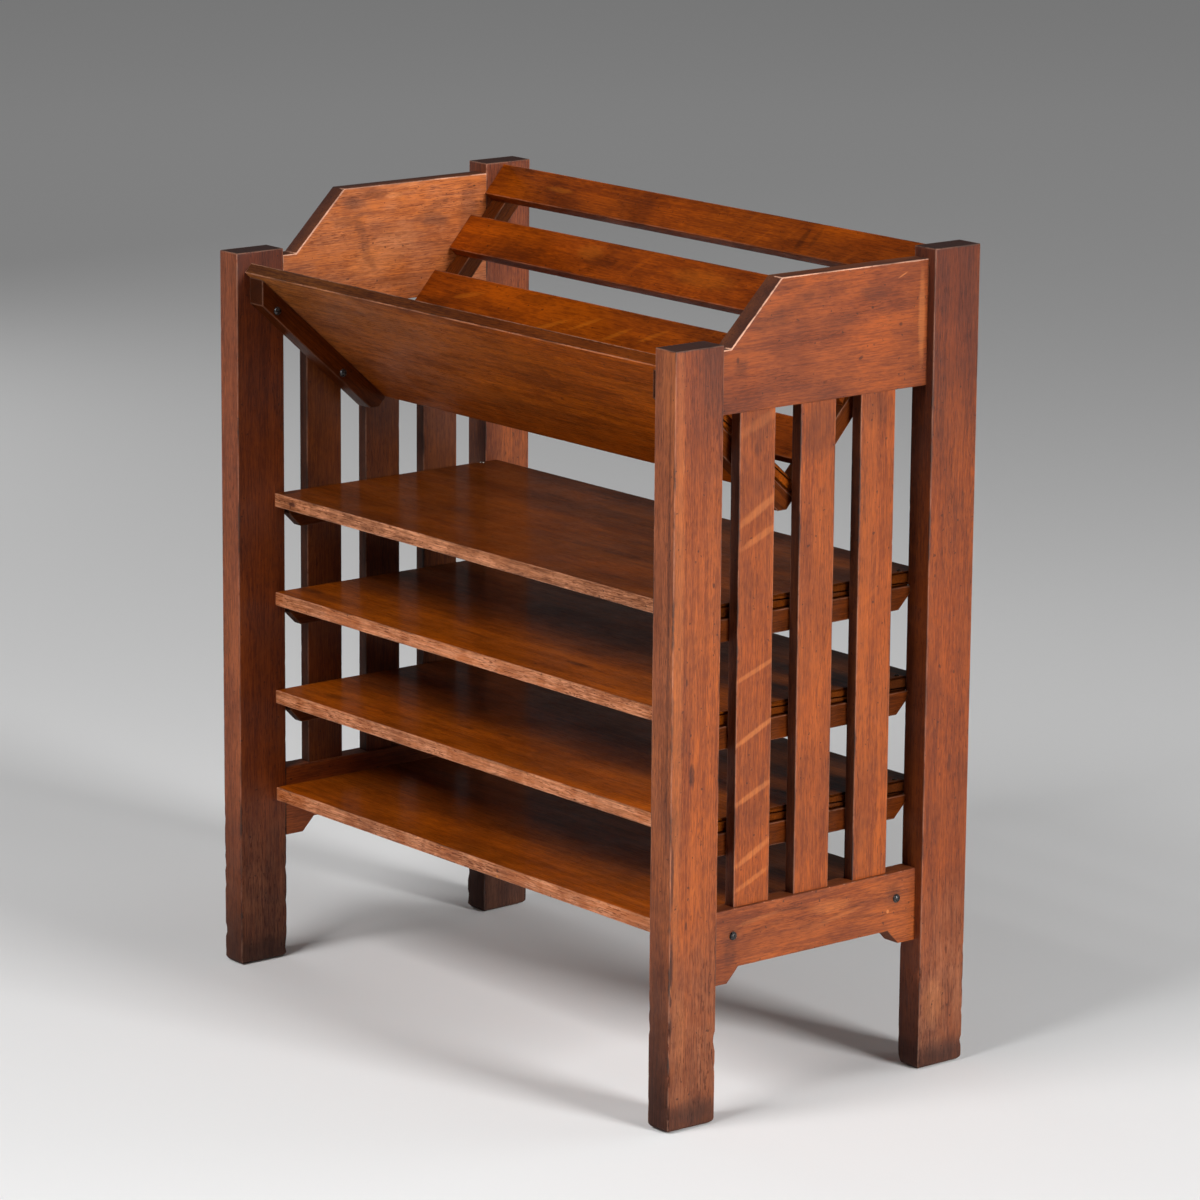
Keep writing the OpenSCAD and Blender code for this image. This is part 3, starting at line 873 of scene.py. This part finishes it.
def rub_down(bm, edge, seed, sizes, foot):
    """Rubs the arrises back unevenly and knocks nicks into them, deeper near the floor under a post."""
    bm.normal_update()
    shift = Vector([seed * step for step in WEAR_STEPS])
    moves = []
    for v in bm.verts:
        if v[edge] <= 0:
            continue
        place = v.co + shift
        slow = 0.5 + 0.5 * noise.noise(place * SLOW_RUB)
        quick = max(0.0, noise.noise(place * NICKS) - NICK_FROM)
        low = nearness(v.co, sizes.foot_height) if foot else 0.0
        more = 1 + sizes.foot_wear * low ** 2
        dent = sizes.dent * min(1.0, low * 2) * max(0.0, noise.noise(place * DENTS) - DENT_FROM)
        moves.append((v, v.normal * (v[edge] * (more * (sizes.rub * slow + sizes.chip * quick) + dent))))
    for v, move in moves:
        if foot and v.co.z < MERGE:
            move.z = 0
        v.co -= move


def carry_grain(bm, axes, middle, seed, tone):
    """Writes the coordinates along the grain and the piece's tone, which also holds painted light and shade.
    """
    grain_layer = bm.verts.layers.float_vector.new("board")
    tone_layer = bm.verts.layers.float_color.new("tone")
    for v in bm.verts:
        offset = v.co - middle
        v[grain_layer] = Vector([offset.dot(axis) + seed * step for axis, step in zip(axes, GRAIN_STEPS)])
        v[tone_layer] = (*tone(v.co), 1.0)


def carry_wear(bm, grain, foot, dark, thin):
    """Writes where the wood is dark with dirt and drunk stain, where painted shade darkens tops and front and
    back faces, and where its stain has worn thin.
    """
    soak = bm.loops.layers.float.new("soak")
    bare = bm.loops.layers.float.new("bare")
    dark_top, dark_side = dark
    bare_front, bare_inside = thin
    standing = foot > 0
    ends = 0.5 if grain == ACROSS else 1.0
    bm.normal_update()
    for f in bm.faces:
        front = max(0.0, -f.normal.y)
        inside = max(0.0, -math.copysign(f.normal.x, f.normal.x * f.calc_center_median().x))
        # Painted shade: faces that look up are darkened, as little light falls on them from above.
        top_shading = dark_top * min(1.0, 1.5 * max(0.0, f.normal.z))
        for loop in f.loops:
            low = nearness(loop.vert.co, GRIME_HEIGHT)
            sole = nearness(loop.vert.co, SOLE_HEIGHT)
            dirt = foot * low * (SIDE_DIRT + FRONT_DIRT * front) + SOLE_DIRT * sole * standing
            # Painted shade also darkens faces that look to the front or the back.
            loop[soak] = max(
                ends * abs(f.normal.dot(grain)), top_shading, dark_side * abs(f.normal.y), min(MOST_DIRT, dirt),
            )
            scuffed = standing * SCUFFED * min(1, low * 1.6) * (1 - front)
            loop[bare] = bare_front * front + bare_inside * inside + scuffed


# Metal fasteners

def slot_across(bm, width, depth, top):
    """Sinks a driver's slot into a domed head."""
    for side in (-1, 1):
        cut(bm, (side * width / 2, 0, 0), (side, 0, 0))
    strip = [
        f for f in bm.faces
        if abs(f.calc_center_median().x) < width / 2 and f.calc_center_median().z > top - depth
    ]
    for v in points_in(bmesh.ops.extrude_face_region(bm, geom=strip)["geom"]):
        v.co.z = top - depth
    bmesh.ops.delete(bm, geom=[f for f in strip if f.is_valid], context="FACES_ONLY")


def fastener(radius, dome, shank, reach, slot=None):
    """A domed head on its shank, pointing up from the origin."""
    bm = bmesh.new()
    bmesh.ops.create_uvsphere(bm, u_segments=32, v_segments=16, radius=radius)
    cut(bm, (0, 0, 0), -UP, clear_outer=True)
    bmesh.ops.scale(bm, vec=(1, 1, dome / radius), verts=bm.verts[:])
    if slot:
        slot_across(bm, *slot, dome)
    rim = [e for e in bm.edges if e.is_boundary and edge_at(e, UP, 0)]
    for narrow, drop in ((shank / 2 / radius, 0), (1, reach)):
        pulled = bmesh.ops.extrude_edge_only(bm, edges=rim)["geom"]
        points = points_in(pulled)
        rim = [g for g in pulled if isinstance(g, bmesh.types.BMEdge) and all(v in points for v in g.verts)]
        bmesh.ops.scale(bm, vec=(narrow, narrow, 1), verts=points)
        bmesh.ops.translate(bm, vec=(0, 0, -drop), verts=points)
    bmesh.ops.edgeloop_fill(bm, edges=rim)
    bmesh.ops.recalc_face_normals(bm, faces=bm.faces[:])
    return bm


def set_in(bm, single, place, direction, twist=0.0):
    """Turns a fastener from +Z to a direction, sets it in its place and adds it to a bmesh."""
    turn = Vector(direction).to_track_quat("Z", "Y").to_matrix().to_4x4()
    matrix = Matrix.Translation(place) @ turn @ Matrix.Rotation(twist, 4, "Z")
    bmesh.ops.transform(single, matrix=matrix, verts=single.verts[:])
    loose = bpy.data.meshes.new("single")
    single.to_mesh(loose)
    single.free()
    bm.from_mesh(loose)
    bpy.data.meshes.remove(loose)


def screws(node, inward):
    """Round-headed slotted screws in the places of a node's solids, each turned its own way."""
    sizes = bpy.context.scene.trough_metal
    bm = bmesh.new()
    for lo, hi in parts_of(node):
        middle = (lo + hi) / 2
        side = (-1 if middle.x > 0 else 1) * (1 if inward else -1)
        outer = hi.x if side > 0 else lo.x
        single = fastener(
            (hi.y - lo.y) / 2, sizes.screw_dome, sizes.screw_shank, hi.x - lo.x - sizes.screw_dome,
            slot=(sizes.slot_width, sizes.slot_depth),
        )
        place = (outer - side * sizes.screw_dome, middle.y, middle.z)
        set_in(bm, single, place, (side, 0, 0), twist=40 * middle.y + 25 * middle.z)
    return add_piece(bm, node + "_turned", "black_screws", [node])


# Operators

class TROUGH_OT_posts(bpy.types.Operator):
    """Builds the four posts, with rounded and knocked feet"""

    bl_idname = "trough.posts"
    bl_label = "Posts"

    def execute(self, context):
        for seed, (place, grime) in enumerate((
            ("front_left", 1.0), ("front_right", 1.0), ("rear_left", 1.9), ("rear_right", 0.8),
        )):
            rear = place.startswith("rear")
            # Painted shade darkens the posts' tops, and the rear posts' front and back faces.
            board(
                "post_" + place, "oak_posts", 1 + seed, free_high=True, foot=grime, dark_top=1.0,
                dark_side=0.35 * rear, tone=self.dark_rear if rear else self.dark_head,
            )
        return {"FINISHED"}

    def dark_head(self, place):
        """Darker and more purple towards the top. On the front faces painted light and reflection give a
        purple-grey tint, brighter on the right post; painted shade darkens the left post's front face and its
        inner and rear faces.
        """
        head = part_way(place.z, 0.58, 0.12)
        if place.y < FRONT_FACE:
            painted_tint = (0.86, 0.99, 2.6) if place.x < 0 else (1.08, 1.32, 3.2)
            fades = (0.14, 0.10, 0.0)
        else:
            painted_tint = (0.62, 0.54, 0.4) if POST_OUTSIDE < place.x < 0 else WHITE
            fades = (0.42, 0.46, 0.1)
        return tuple(level * (1 - fade * head) for level, fade in zip(painted_tint, fades))

    def dark_rear(self, place):
        """The rear posts are darker all over as painted shade, most of all the left rear post's inner faces
        near the floor, under the shelves.
        """
        high = part_way(place.z, 0.0, 0.7)
        inside = POST_OUTSIDE < place.x < 0
        painted_tint = (0.54 + 0.56 * high, 0.56 + 0.56 * high, 0.6 + 0.4 * high) if inside else (0.72, 0.63, 0.36)
        return tuple(a * b for a, b in zip(painted_tint, self.dark_head(Vector((1, 0, place.z)))))


class TROUGH_OT_end_boards(bpy.types.Operator):
    """Builds the two shaped end boards of the trough"""

    bl_idname = "trough.end_boards"
    bl_label = "End boards"

    def execute(self, context):
        # Painted shade darkens the end boards' tops.
        boards(
            ("end_board_left", "end_board_right"), "oak_side_boards", 11, dark_top=0.9, bare_inside=0.22,
            worn=self.rubbed_top, tone=self.golden_inside,
        )
        return {"FINISHED"}

    def rubbed_top(self, place):
        """Hands rub the upper arrises. On the side that looks right, towards the key lamp, they are paler
        still as a painted highlight.
        """
        outer = abs(place.x) > END_BOARD_MIDDLE
        return LITTLE_RUBBED if place.z < END_BOARD_FOOT or outer == (place.x < 0) else 1.0

    def golden_inside(self, place):
        """Painted light makes the inner faces lighter and more golden. Painted shade makes the outer ones
        duller, most at the rear.
        """
        rear_shade = 1 - 0.18 * part_way(place.y, 0.06, 0.05)
        inner = abs(place.x) < END_BOARD_MIDDLE
        return (1.46, 1.58, 1.10) if inner else (0.77 * rear_shade, 0.70 * rear_shade, 0.55 * rear_shade)


class TROUGH_OT_rails(bpy.types.Operator):
    """Builds the two lower rails with their shaped feet"""

    bl_idname = "trough.rails"
    bl_label = "Rails"

    def execute(self, context):
        # Painted shade darkens the rails' tops a little.
        boards(("rail_left", "rail_right"), "oak_side_boards", 21, dark_top=0.3, worn=self.little_rubbed)
        return {"FINISHED"}

    def little_rubbed(self, place):
        """Hands seldom reach the rails."""
        return RAIL_RUBBED


class TROUGH_OT_side_slats(bpy.types.Operator):
    """Builds the three upright slats at each end"""

    bl_idname = "trough.side_slats"
    bl_label = "Side slats"

    def execute(self, context):
        names = [f"side_slat_{side}_{place}" for side in SIDES for place in ("front", "middle", "rear")]
        # Painted shade darkens the slats' front and back faces.
        boards(names, "oak_side_slats", 31, dark_side=0.75, tone=self.dim_left)
        return {"FINISHED"}

    def dim_left(self, place):
        """Painted shade: the inner faces of the left slats are darker than the rest."""
        return (0.62, 0.68, 0.8) if SLAT_OUTSIDE < place.x < 0 else (0.94, 0.89, 0.68)


class TROUGH_OT_shelves(bpy.types.Operator):
    """Builds the four shelves"""

    bl_idname = "trough.shelves"
    bl_label = "Shelves"

    def execute(self, context):
        for seed, place in enumerate(("bottom", "lower", "upper", "top")):
            tone = self.dark_top if place == "top" else self.dusty_back
            board("shelf_" + place, "oak_shelves", 41 + seed, across=True, bare_front=0.78, tone=tone)
        return {"FINISHED"}

    def dark_top(self, place):
        """Painted shade: the top shelf, under the trough, is darker than the others."""
        return 0.46, 0.47, 0.42

    def dusty_back(self, place):
        """Painted shade: towards the back a shelf is darker and greyer."""
        back = part_way(place.y, -0.105, 0.08)
        return 1 - 0.68 * back, 1 - 0.62 * back, 1 + 0.5 * back


class TROUGH_OT_bearers(bpy.types.Operator):
    """Builds the bearers under the upper shelves"""

    bl_idname = "trough.bearers"
    bl_label = "Shelf bearers"

    def execute(self, context):
        names = [f"shelf_bearer_{place}_{side}" for place in ("lower", "upper", "top") for side in SIDES]
        boards(names, "oak_battens", 51)
        return {"FINISHED"}


class TROUGH_OT_trough(bpy.types.Operator):
    """Builds the sloping front board and the rear slats of the trough"""

    bl_idname = "trough.trough"
    bl_label = "Trough board and slats"

    def execute(self, context):
        # Painted shade darkens the front board's upward face.
        board("trough_front_board", "oak_trough_board", 61, across=True, dark_top=0.85, tone=self.grey_corner)
        for seed, place in enumerate(("lowest", "lower", "upper", "top")):
            tone = self.bright_middle if place == "upper" else self.dull_slat
            board("trough_slat_" + place, "oak_trough_slats", 62 + seed, across=True, tone=tone)
        return {"FINISHED"}

    def dull_slat(self, place):
        """Painted shade: the two lower slats and the top one are a little duller."""
        return 0.88, 0.85, 0.58

    def bright_middle(self, place):
        """Painted light: the upper slat is lighter, as if it caught more light."""
        return 1.03, 0.97, 0.6

    def grey_corner(self, place):
        """The front board is greyer towards its upper left corner and redder towards the right."""
        left = part_way(place.x, 0.1, -0.4) * part_way(place.z, 0.56, 0.1)
        right = part_way(place.x, 0.05, 0.25)
        return 1.20 - 0.06 * left + 0.22 * right, 1.18 + 0.65 * left + 0.2 * right, 1 + 11 * left


class TROUGH_OT_battens(bpy.types.Operator):
    """Builds the battens that carry the trough on its end boards"""

    bl_idname = "trough.battens"
    bl_label = "Trough battens"

    def execute(self, context):
        names = [f"trough_batten_{place}_{side}" for place in ("front", "rear") for side in SIDES]
        boards(names, "oak_battens", 71, free_low=True, free_high=True)
        return {"FINISHED"}


class TROUGH_OT_screws(bpy.types.Operator):
    """Builds the black round-headed screws of the battens and rails"""

    bl_idname = "trough.screws"
    bl_label = "Screws"

    def execute(self, context):
        screws("batten_screws", inward=True)
        screws("rail_screws", inward=False)
        return {"FINISHED"}


class TROUGH_OT_nails(bpy.types.Operator):
    """Builds the small steel nails in the rear corners of the shelves"""

    bl_idname = "trough.nails"
    bl_label = "Nails"

    def execute(self, context):
        sizes = context.scene.trough_metal
        bm = bmesh.new()
        for lo, hi in parts_of("shelf_nails"):
            middle = (lo + hi) / 2
            single = fastener(
                (hi.y - lo.y) / 2, sizes.nail_dome, sizes.nail_shank, hi.z - lo.z - sizes.nail_dome,
            )
            set_in(bm, single, (middle.x, middle.y, hi.z - sizes.nail_dome), UP)
        add_piece(bm, "shelf_nails_turned", "nails", ["shelf_nails"])
        return {"FINISHED"}


class TROUGH_OT_stage(bpy.types.Operator):
    """Sets the pale floor, the soft lamps and the camera"""

    bl_idname = "trough.stage"
    bl_label = "Stage"

    def execute(self, context):
        stage = context.scene.trough_stage
        context.scene.view_settings.view_transform = "Standard"
        self.floor(stage)
        self.world(stage)
        self.lamp("key", 98, 17, 5.0, (1.2, 2.0), stage.key)
        self.lamp("front", 4, 42, 3.6, (1.6, 1.6), stage.fill)
        self.lamp("rear_right", 152, 34, 4.0, (2.0, 2.0), stage.rear)
        self.lamp("rear_left", 270, 13, 4.0, (1.8, 1.6), stage.rear)
        self.camera(stage)
        return {"FINISHED"}

    def floor(self, stage):
        """A wide pale floor that glows as the backdrop does further out."""
        bm = bmesh.new()
        bmesh.ops.create_grid(bm, x_segments=8, y_segments=8, size=40)
        mesh = bpy.data.meshes.new("floor")
        bm.to_mesh(mesh)
        bm.free()
        floor = put("floor", mesh)
        material, s, shader = new_material("pale_floor")
        far = s.ramp(s.vector("LENGTH", s.place()), 1.2, 7.0, 0.0, stage.backdrop)
        s.feed(shader, {
            "Base Color": stage.floor, "Roughness": 0.9, "Specular IOR Level": 0.1,
            "Emission Color": WHITE, "Emission Strength": s.times(far, self.shown(s)),
        })
        mesh.materials.append(material)

    def shown(self, s):
        """1 where the camera, a reflection or a clear piece shows the backdrop, and 0 for its light."""
        path = s.add("ShaderNodeLightPath").outputs
        seen = s.math("MAXIMUM", path["Is Camera Ray"], path["Is Glossy Ray"])
        return s.math("MAXIMUM", seen, path["Is Transmission Ray"])

    def world(self, stage):
        """An even sky, and a backdrop that darkens from the horizon up."""
        world = bpy.data.worlds.new("studio")
        bpy.context.scene.world = world
        world.use_nodes = True
        s = Steps(world.node_tree)
        height = s.part(s.place("Generated"), "Z")
        seen = s.ramp(height, 0.0, 0.5, stage.backdrop * 1.3, stage.backdrop * 0.1)
        strength = s.ramp(self.shown(s), 0, 1, stage.sky, seen)
        s.feed(world.node_tree.nodes["Background"].inputs, {"Color": WHITE, "Strength": strength})

    def lamp(self, name, azimuth, elevation, distance, size, level):
        """A soft lamp, aimed at the middle of the trough, whose power gives a set level there."""
        turn, rise = math.radians(azimuth), math.radians(elevation)
        out = Vector((math.sin(turn) * math.cos(rise), -math.cos(turn) * math.cos(rise), math.sin(rise)))
        data = bpy.data.lights.new(name, "AREA")
        data.shape = "RECTANGLE"
        data.size, data.size_y = size
        data.energy = level * (math.pi * distance) ** 2
        lamp = put(name, data)
        lamp.location = UP * AIM_HEIGHT + out * distance
        lamp.rotation_euler = out.to_track_quat("Z", "Y").to_euler()

    def camera(self, stage):
        """The photograph's own camera."""
        yaw, pitch, roll = stage.yaw, stage.pitch, stage.roll
        forward = Vector((
            -math.sin(yaw) * math.cos(pitch), math.cos(yaw) * math.cos(pitch), -math.sin(pitch),
        ))
        right = Vector((math.cos(yaw), math.sin(yaw), 0))
        up = right.cross(forward)
        side = math.cos(roll) * right + math.sin(roll) * up
        top = math.cos(roll) * up - math.sin(roll) * right
        data = bpy.data.cameras.new("camera")
        data.sensor_width = 36
        data.lens = stage.lens
        camera = put("camera", data)
        turn = Matrix((side, top, -forward)).transposed().to_4x4()
        camera.matrix_world = Matrix.Translation(stage.place) @ turn
        bpy.context.scene.camera = camera


OPERATORS = (
    TROUGH_OT_posts, TROUGH_OT_end_boards, TROUGH_OT_rails, TROUGH_OT_side_slats,
    TROUGH_OT_shelves, TROUGH_OT_bearers, TROUGH_OT_trough, TROUGH_OT_battens,
    TROUGH_OT_screws, TROUGH_OT_nails, TROUGH_OT_stage,
)
SETTINGS = (
    ("trough_boards", BoardSizes), ("trough_stains", OakStains),
    ("trough_metal", MetalSizes), ("trough_stage", StageSettings),
)


class TROUGH_PT_panel(bpy.types.Panel):
    """Lists the pieces and their settings"""

    bl_label = "Book Trough"
    bl_space_type = "VIEW_3D"
    bl_region_type = "UI"
    bl_category = "Book Trough"

    def draw(self, context):
        for operator in OPERATORS:
            self.layout.operator(operator.bl_idname)
        for name, group in SETTINGS:
            box = self.layout.box()
            for setting in group.__annotations__:
                box.prop(getattr(context.scene, name), setting)


def register():
    for name, group in SETTINGS:
        bpy.utils.register_class(group)
        setattr(bpy.types.Scene, name, bpy.props.PointerProperty(type=group))
    for operator in OPERATORS:
        bpy.utils.register_class(operator)
    bpy.utils.register_class(TROUGH_PT_panel)


def unregister():
    bpy.utils.unregister_class(TROUGH_PT_panel)
    for operator in reversed(OPERATORS):
        bpy.utils.unregister_class(operator)
    for name, group in reversed(SETTINGS):
        delattr(bpy.types.Scene, name)
        bpy.utils.unregister_class(group)


def main():
    register()
    for operator in OPERATORS:
        group, name = operator.bl_idname.split(".")
        getattr(getattr(bpy.ops, group), name)()


if __name__ == "__main__":
    main()
